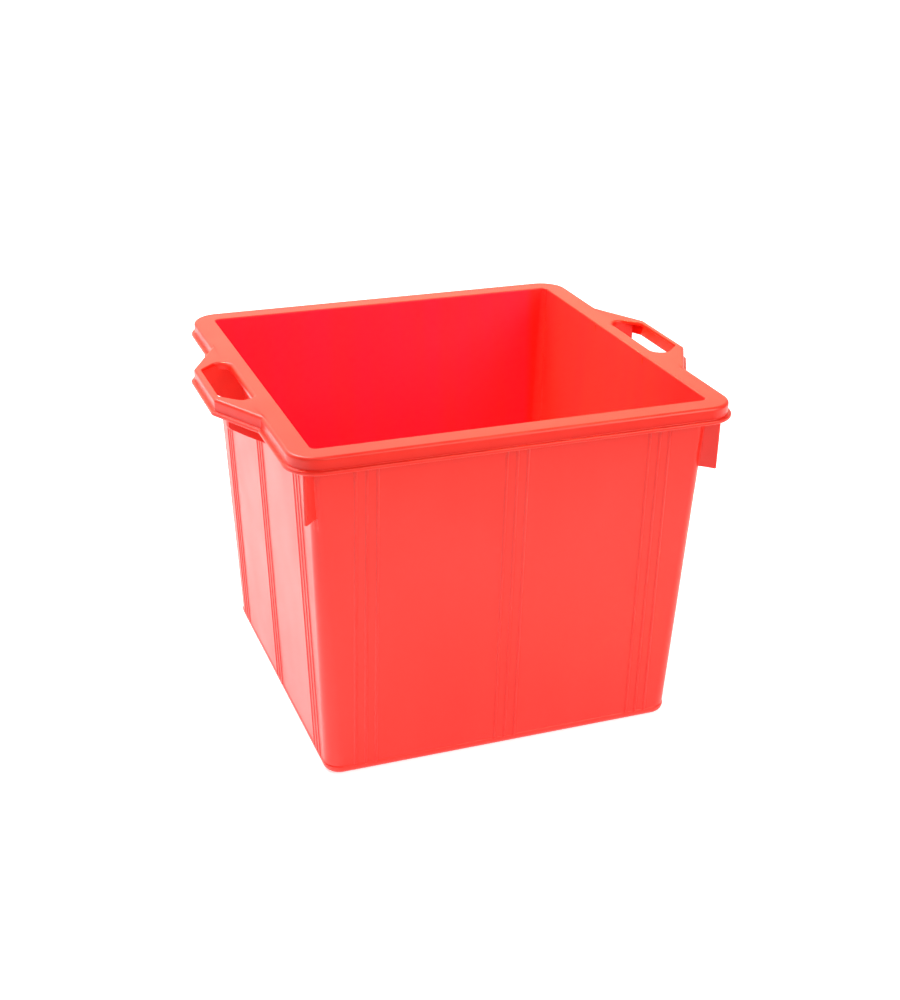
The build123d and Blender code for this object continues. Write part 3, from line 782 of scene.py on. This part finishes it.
def handle():
    """Right-hand grip with the rim it grows from."""
    p = Piece()
    rail, rn = rounded_path([(SKIRT, -CUT_HALF), (SKIRT, -ROOT_HALF), (GRIP_X, -GRIP_HALF), (GRIP_X, GRIP_HALF),
                             (SKIRT, ROOT_HALF), (SKIRT, CUT_HALF)],
                            [0.0, R_GRIP_ROOT, R_GRIP_CORNER, R_GRIP_CORNER, R_GRIP_ROOT, 0.0], 10)
    rail, rn = refine(rail, rn, 4.0)
    # the inside of the skirt leans in towards the top, most of all behind the fingers
    y = np.abs(rail[:, 1])
    lean = np.interp(y, [36.0, 43.0, 57.0, 66.0], [1.7, 0.3, 0.3, 0.0])

    def swept(strip, leaning=False):
        q, m, w = [], [], []
        for h, c, z, nu, nz, wear_and_shade, inner in strip:
            d = np.full(len(rail), h - SKIRT)
            if leaning:
                d = d - lean * np.clip((z - LIP_BOTTOM - 0.5) / (WALL_TOP - LIP_BOTTOM - 0.9), 0.0, 1.0)
            q.append(np.concatenate([rail + d[:, None] * rn, np.full((len(rail), 1), z)], 1))
            m.append(np.concatenate([rn * nu, np.full((len(rail), 1), nz)], 1))
            w.append(np.full(len(rail), wear_and_shade))
        p.grid(np.array(q), np.array(m), np.array(w))
    mouth, edge, hc = rim_upper()
    outer = rim_outer()
    for strip in outer[:-2]:
        swept(strip)
    zr = WALL_TOP - 0.4
    swept([(SKIRT - SKIRT_T, RIM_C, z, -1.0, -0.1, 0.0, 0.0) for z in (LIP_BOTTOM + 0.5, LIP_BOTTOM + 4, zr - 4, zr)], True)
    swept(arc(SKIRT - SKIRT_T - 0.4, zr, 0.4, 0, 90, 3, hollow=True), True)
    ys = np.linspace(-CUT_HALF, CUT_HALF, 25)

    def along(strip, back=False):
        q, m, w, inn = [], [], [], []
        for h, c, z, nu, nz, wear_and_shade, inner in strip:
            q.append(np.stack([np.full_like(ys, h), ys, np.full_like(ys, z)], -1))
            m.append(np.tile((nu, 0.0, nz), (len(ys), 1)))
            w.append(np.full(len(ys), wear_and_shade))
            inn.append(np.full(len(ys), inner))
        p.grid(np.array(q), np.array(m), np.array(w), np.array(inn))
    root, joint, close = rim_under()
    for strip in (mouth, edge, root, joint, close):
        along(strip)

    hole, hn = rounded_path([(HOLE_X0, -HOLE_HALF), (HOLE_X_SLANT, -HOLE_HALF), (HOLE_X1, -HOLE_OUT_HALF),
                             (HOLE_X1, HOLE_OUT_HALF), (HOLE_X_SLANT, HOLE_HALF), (HOLE_X0, HOLE_HALF)],
                            [R_HOLE_IN, R_HOLE_SLANT, R_HOLE_OUT, R_HOLE_OUT, R_HOLE_SLANT, R_HOLE_IN], 10, closed=True)
    hole, hn = np.concatenate([hole, hole[:1]]), np.concatenate([hn, hn[:1]])
    hole, hn = refine(hole, hn, 3.0)
    inward, outward = np.clip(-hn[:, 0], 0.0, 1.0), np.clip(hn[:, 0], 0.0, 1.0)
    top_r = 2.6 + 2.2 * inward ** 1.5 - 1.6 * outward ** 0.5     # radius of the upper edge
    turn = np.clip((HOLE_X0 + R_HOLE_IN + 3.0 - hole[:, 0]) / 3.0, 0.0, 1.0)        # 1 where the edge turns down
    low_r = 0.5 * np.maximum(inward, outward) ** 0.5             # radius of the lower edge: none against the webs
    room = (HOLE_HALF + 1.9 - np.abs(hole[:, 1])) / np.maximum(np.abs(hn[:, 1]), 1e-3)
    thick = np.minimum(HOLE_TURN_T, room - 0.6)
    base = np.minimum(HOLE_TURN_T + 1.0, room)

    def hole_strip(rings):
        """rings: (outward offset, level, normal out of the plate's edge, normal up, wear), each along the outline."""
        n = len(hole)
        q, m, w = [], [], []
        for d, z, nu, nz, wear_and_shade in rings:
            d, z, nu, nz = (np.broadcast_to(x, (n,)) for x in (d, z, nu, nz))
            q.append(np.concatenate([hole + d[:, None] * hn, z[:, None]], 1))
            m.append(np.concatenate([-hn * nu[:, None], nz[:, None]], 1))
            w.append(np.full(n, wear_and_shade))
        p.grid(np.array(q), np.array(m), np.array(w))
        return q
    upper = []
    for k, a in enumerate(np.radians(np.linspace(90, 0, 9))):
        upper.append((top_r * (1 - math.cos(a)), H - top_r + top_r * math.sin(a), math.cos(a), math.sin(a), 0.6 * math.sin(math.pi * k / 8)))
    top_loop = hole_strip(upper)[0]
    foot = WALL_TOP - (WALL_TOP - HOLE_TURN_Z) * turn
    hole_strip([(0.0, H - top_r, 1.0, 0.0, 0.0), (0.0, foot + low_r, 1.0, 0.0, 0.0)])
    lower = []
    for a in np.radians(np.linspace(0, -90, 5)):
        lower.append((low_r * (1 - math.cos(a)), foot + low_r * (1 + math.sin(a)), math.cos(a), math.sin(a), 0.0))
    hole_strip(lower)
    drop = WALL_TOP - foot
    hole_strip([(low_r, foot, 0.0, -1.0, 0.0), (low_r + (thick - 0.5 - low_r) * turn, foot, 0.0, -1.0, 0.0)])
    hole_strip([(low_r + (thick - 0.5 + 0.5 * math.sin(a) - low_r) * turn, foot + 0.5 * (1 - math.cos(a)) * drop / 3.9, -math.sin(a) * turn,
                 -math.cos(a) - 1e-3, 0.0) for a in np.radians([0, 30, 60, 90])])
    hole_strip([(low_r + (thick - low_r) * turn, foot + 0.5 * drop / 3.9, -turn, turn - 1.0001, 0.0),
                (low_r + (thick - low_r) * turn, WALL_TOP - (base - thick) * turn, -turn, turn - 1.0001, 0.0)])
    low_loop = hole_strip([(low_r + (base - (base - thick) * math.cos(a) - low_r) * turn, WALL_TOP - (base - thick) * (1 - math.sin(a)) * turn,
                            -math.cos(a) * turn, -math.sin(a) - 1e-3, 0.0) for a in np.radians([0, 30, 60, 90])])[-1]

    mid = (0.5 * (HOLE_X0 + HOLE_X1), 0.0)

    def plate(z, d, x_in, hole_loop, nz, wear_and_shade=0.0):
        out = np.concatenate([rail + np.broadcast_to(d, (len(rail),))[:, None] * rn, np.full((len(rail), 1), z)], 1)
        back = np.stack([np.full_like(ys, x_in), ys[::-1], np.full_like(ys, z)], -1)
        p.zip(np.concatenate([out, back]), hole_loop[:-1], mid, (0.0, 0.0, nz))
    plate(H, -R_RIM_TOP, hc, top_loop, 1.0)
    plate(WALL_TOP, -SKIRT_T - lean - 0.4, root[0][0], low_loop, -1.0)
    around = [r for strip in [mouth, edge] + outer[:-2] for r in strip]
    around += [(SKIRT - SKIRT_T, RIM_C, z, 0, 0, 0, 0) for z in (LIP_BOTTOM + 0.5, LIP_BOTTOM + 4, zr - 4, zr)]
    around += arc(SKIRT - SKIRT_T - 0.4, zr, 0.4, 0, 90, 3, hollow=True)
    around += [r for strip in (root, joint, close) for r in strip]
    for side in (-1.0, 1.0):
        p.face([(h, side * CUT_HALF, z) for h, c, z, *_ in around], (0.0, side, 0.0))
    return p


def hole_web(side):
    """Upright web at one end of the right hand hole, let into the wall, the plate and the skirt."""
    p = Piece()
    slope = (GRIP_X - SKIRT) / (ROOT_HALF - GRIP_HALF)
    end = GRIP_X - slope * (HOLE_HALF - GRIP_HALF) - SKIRT_T * math.sqrt(1 + slope * slope)
    rise = (WEB_SKIRT_Z - WEB_WALL_Z) / (end - half(WEB_WALL_Z))
    soft = 2.5                                                  # radius of the free lower corner
    x = np.concatenate([np.linspace(199.5, end - soft, 13), end - soft + soft * np.sin(np.radians([20, 40, 60, 75, 90]))])
    t = np.clip((x - end + soft) / soft, 0.0, 1.0)
    low, top = WEB_WALL_Z - 1.8 + rise * (x - half(WEB_WALL_Z)) + soft * (1 - np.sqrt(1 - t * t)), H - 2.4
    grade = rise + t / np.sqrt(np.maximum(1 - t * t, 0.02))
    steep = np.sqrt(1 + grade * grade)
    nx, nz = grade / steep, -1 / steep
    follow = slope * np.clip((x - 228.0) / (end - 228.0), 0.0, 1.0)     # the outer end follows the arm
    y0, y1, r = HOLE_HALF + 0.04, HOLE_HALF + WEB_T, 0.6
    edge = [(y0 + r - r * math.cos(a), r * (1 - math.sin(a)), -math.cos(a), math.sin(a)) for a in np.radians(np.linspace(0, 90, 7))]
    edge += [(y1 - r + r * math.sin(a), r * (1 - math.cos(a)), math.sin(a), math.cos(a)) for a in np.radians(np.linspace(0, 90, 7))]
    q = [np.stack([x + 0.2 * t - follow * (ye - HOLE_HALF), np.full_like(x, side * ye), low + up * np.minimum(steep, 1.5)], -1)
         for ye, up, _, _ in edge]
    m = [np.stack([nx * nd, np.full_like(x, side * ny), nz * nd], -1) for _, _, ny, nd in edge]
    p.grid(np.array(q), np.array(m), 0.4)
    for k, ny in ((0, -1.0), (-1, 1.0)):
        rows = [q[k], np.stack([q[k][:, 0], q[k][:, 1], np.full_like(x, top)], -1)]
        p.grid(np.array(rows), (0.0, side * ny, 0.0))
    for k, nu in ((0, -1.0), (-1, 1.0)):
        p.face([(q[0][k][0], side * y0, top), *[tuple(g[k]) for g in q], (q[-1][k][0], side * y1, top)], (nu, 0.0, 0.0))
    p.grid(np.array([[(g[0], side * ye, top) for g in row] for row, ye in ((q[0], y0), (q[-1], y1))]), (0.0, 0.0, 1.0))
    return p


# ------------------------------------------------------------------ the pieces
SIDES = ("front", "right", "back", "left")
CORNERS = ("front_right", "back_right", "back_left", "front_left")

base_pan().build("base_pan_moulded", "floor_panel", *["base_edge_" + s for s in SIDES], *["base_corner_" + c for c in CORNERS])
one_wall, one_corner, one_rim, one_bend = wall(), wall_corner(), rim_length(), rim_corner()
short_a, short_b, one_handle = rim_length(x1=-CUT_HALF, cols=6), rim_length(x0=CUT_HALF, cols=6), handle()
for q, (s, c) in enumerate(zip(SIDES, CORNERS)):
    one_wall.turned(q).build("wall_%s_ribbed" % s, "wall_" + s, "ribs_" + s)
    one_corner.turned(q).build("wall_corner_%s_finned" % c, "wall_corner_" + c, "corner_fin_" + c)
    one_bend.turned(q).build("rim_corner_%s_moulded" % c, "rim_corner_" + c)
one_rim.build("rim_front_moulded", "rim_front")
one_rim.turned(2).build("rim_back_moulded", "rim_back")
short_a.turned(1).build("rim_right_front_moulded", "rim_right_front")
short_b.turned(1).build("rim_right_back_moulded", "rim_right_back")
short_a.turned(3).build("rim_left_back_moulded", "rim_left_back")
short_b.turned(3).build("rim_left_front_moulded", "rim_left_front")
for side, q in (("right", 0), ("left", 2)):
    one_handle.turned(q).build("handle_%s_moulded" % side, "rim_%s_middle" % side, "handle_%s_grip" % side,
                               "handle_%s_front_arm" % side, "handle_%s_back_arm" % side)
    for end, y in (("front", -1.0), ("back", 1.0)):
        hole_web(y if side == "right" else -y).turned(q).build("handle_%s_%s_web_moulded" % (side, end), "handle_%s_%s_web" % (side, end))

# ------------------------------------------------------------------ floor
FLOOR_GLOW = 0.64
mesh = bpy.data.meshes.new("floor")
mesh.from_pydata([(-14, -14, 0), (14, -14, 0), (14, 14, 0), (-14, 14, 0)], [], [(0, 1, 2, 3)])
floor = bpy.data.objects.new("floor", mesh)
bpy.context.scene.collection.objects.link(floor)
fm = bpy.data.materials.new("pale_floor")
fm.use_nodes = True
nt = fm.node_tree
nt.nodes.clear()
f_out = nt.nodes.new("ShaderNodeOutputMaterial")
f_mix = nt.nodes.new("ShaderNodeMixShader")
f_geo = nt.nodes.new("ShaderNodeNewGeometry")
f_dif = nt.nodes.new("ShaderNodeBsdfDiffuse")
f_dif.inputs["Color"].default_value = (0.93, 0.93, 0.93, 1.0)
f_glow = nt.nodes.new("ShaderNodeEmission")                  # the table is lit from below as well
f_glow.inputs["Color"].default_value = (0.90, 0.94, 1.0, 1.0)
f_glow.inputs["Strength"].default_value = FLOOR_GLOW
f_add = nt.nodes.new("ShaderNodeAddShader")
nt.links.new(f_dif.outputs[0], f_add.inputs[0])
nt.links.new(f_glow.outputs[0], f_add.inputs[1])
# well in front of the basket the floor throws less light back; it looks as pale as the rest of it
f_grey = nt.nodes.new("ShaderNodeBsdfDiffuse")
f_grey.inputs["Color"].default_value = (0.30, 0.30, 0.30, 1.0)
f_pos = nt.nodes.new("ShaderNodeSeparateXYZ")
nt.links.new(f_geo.outputs["Position"], f_pos.inputs[0])
f_end = nt.nodes.new("ShaderNodeMapRange")
f_end.interpolation_type = "SMOOTHSTEP"
for name, val in (("From Min", -0.66), ("From Max", -1.05), ("To Min", 0.0), ("To Max", 1.0)):
    f_end.inputs[name].default_value = val
nt.links.new(f_pos.outputs["Y"], f_end.inputs["Value"])
f_path = nt.nodes.new("ShaderNodeLightPath")
f_dim = nt.nodes.new("ShaderNodeMath")
f_dim.operation = "SUBTRACT"
f_dim.use_clamp = True
nt.links.new(f_end.outputs["Result"], f_dim.inputs[0])
nt.links.new(f_path.outputs["Is Camera Ray"], f_dim.inputs[1])
f_top = nt.nodes.new("ShaderNodeMixShader")
nt.links.new(f_dim.outputs[0], f_top.inputs[0])
nt.links.new(f_add.outputs[0], f_top.inputs[1])
nt.links.new(f_grey.outputs[0], f_top.inputs[2])
f_clear = nt.nodes.new("ShaderNodeBsdfTransparent")
nt.links.new(f_geo.outputs["Backfacing"], f_mix.inputs[0])
nt.links.new(f_top.outputs[0], f_mix.inputs[1])
nt.links.new(f_clear.outputs[0], f_mix.inputs[2])
nt.links.new(f_mix.outputs[0], f_out.inputs["Surface"])
mesh.materials.append(fm)

# ------------------------------------------------------------------ light
scene = bpy.context.scene
world = bpy.data.worlds.new("studio")
scene.world = world
world.use_nodes = True
wt = world.node_tree
bg = wt.nodes.get("Background") or wt.nodes.new("ShaderNodeBackground")
w_out = wt.nodes.get("World Output") or wt.nodes.new("ShaderNodeOutputWorld")
bg.inputs["Strength"].default_value = 1.0
w_plain = wt.nodes.new("ShaderNodeBackground")               # the studio's walls, plain and pale behind the basket
w_plain.inputs["Color"].default_value = (0.95, 0.95, 0.95, 1.0)
w_path = wt.nodes.new("ShaderNodeLightPath")
w_mix = wt.nodes.new("ShaderNodeMixShader")
wt.links.new(w_path.outputs["Is Camera Ray"], w_mix.inputs[0])
wt.links.new(bg.outputs[0], w_mix.inputs[1])
wt.links.new(w_plain.outputs[0], w_mix.inputs[2])
wt.links.new(w_mix.outputs[0], w_out.inputs["Surface"])
way = wt.nodes.new("ShaderNodeTexCoord")


def wide_light(axis, colour, so_far=None):
    """Soft light from one side of the studio, fading round to the other side."""
    dot = wt.nodes.new("ShaderNodeVectorMath")
    dot.operation = "DOT_PRODUCT"
    dot.inputs[1].default_value = axis
    wt.links.new(way.outputs["Generated"], dot.inputs[0])
    cut = wt.nodes.new("ShaderNodeMath")
    cut.operation = "MAXIMUM"
    cut.inputs[1].default_value = 0.0
    wt.links.new(dot.outputs["Value"], cut.inputs[0])
    tint = wt.nodes.new("ShaderNodeVectorMath")
    tint.operation = "SCALE"
    tint.inputs[0].default_value = colour
    wt.links.new(cut.outputs[0], tint.inputs["Scale"])
    if so_far is None:
        return tint.outputs["Vector"]
    both = wt.nodes.new("ShaderNodeVectorMath")
    both.operation = "ADD"
    wt.links.new(so_far, both.inputs[0])
    wt.links.new(tint.outputs["Vector"], both.inputs[1])
    return both.outputs["Vector"]


light = wide_light((-0.20, 0.98, 0.0), (1.64, 1.48, 1.07))
light = wide_light((0.0, -1.0, 0.0), (0.52, 0.50, 0.44), light)
light = wide_light((0.0, 0.0, 1.0), (0.25, 0.245, 0.235), light)
wt.links.new(light, bg.inputs["Color"])


def soft_light(name, at, to, size, power, colour=(1.0, 1.0, 1.0), spread=180.0):
    data = bpy.data.lights.new(name, "AREA")
    data.shape = "RECTANGLE"
    data.size, data.size_y = size
    data.energy = power
    data.color = colour
    data.spread = math.radians(spread)
    o = bpy.data.objects.new(name, data)
    scene.collection.objects.link(o)
    o.location = at
    o.rotation_euler = (Vector(to) - Vector(at)).to_track_quat("-Z", "Y").to_euler()
    return o


soft_light("back_left", (-0.7, 0.9, 1.9), (0.0, 0.0, 0.2), (0.9, 0.9), 38.0)
soft_light("front", (1.5, -2.3, 1.7), (0.0, 0.1, 0.2), (1.6, 1.6), 52.0, (1.0, 0.96, 0.80))
soft_light("over", (-0.45, 0.05, 1.3), (0.2, 0.0, 0.15), (0.2, 0.2), 1.75, (1.0, 0.92, 0.40), 30.0)

# ------------------------------------------------------------------ camera at the photograph's place
F_PX, LONG = 1586.677534856524, 1000.0
yaw, pitch, roll = 0.3567104872141428, 0.42107297356875906, -0.012188127046342763
fwd = np.array((math.sin(yaw) * math.cos(pitch), math.cos(yaw) * math.cos(pitch), -math.sin(pitch)))
right = np.array((math.cos(yaw), -math.sin(yaw), 0.0))
down = np.cross(fwd, right)
r2 = math.cos(roll) * right + math.sin(roll) * down
d2 = -math.sin(roll) * right + math.cos(roll) * down
cam_data = bpy.data.cameras.new("camera")
cam_data.sensor_width = 36.0
cam_data.lens = F_PX * 36.0 / LONG
cam_data.clip_start, cam_data.clip_end = 0.05, 60.0
cam = bpy.data.objects.new("camera", cam_data)
scene.collection.objects.link(cam)
m = Matrix.Identity(4)
for k in range(3):
    m[k][0], m[k][1], m[k][2] = r2[k], -d2[k], -fwd[k]
m[0][3], m[1][3], m[2][3] = -0.5417505832020532, -1.4744474752451174, 0.9000806205143498
cam.matrix_world = m
scene.camera = cam
scene.view_settings.view_transform = "Standard"
scene.view_settings.look = "None"

bpy.context.view_layer.update()
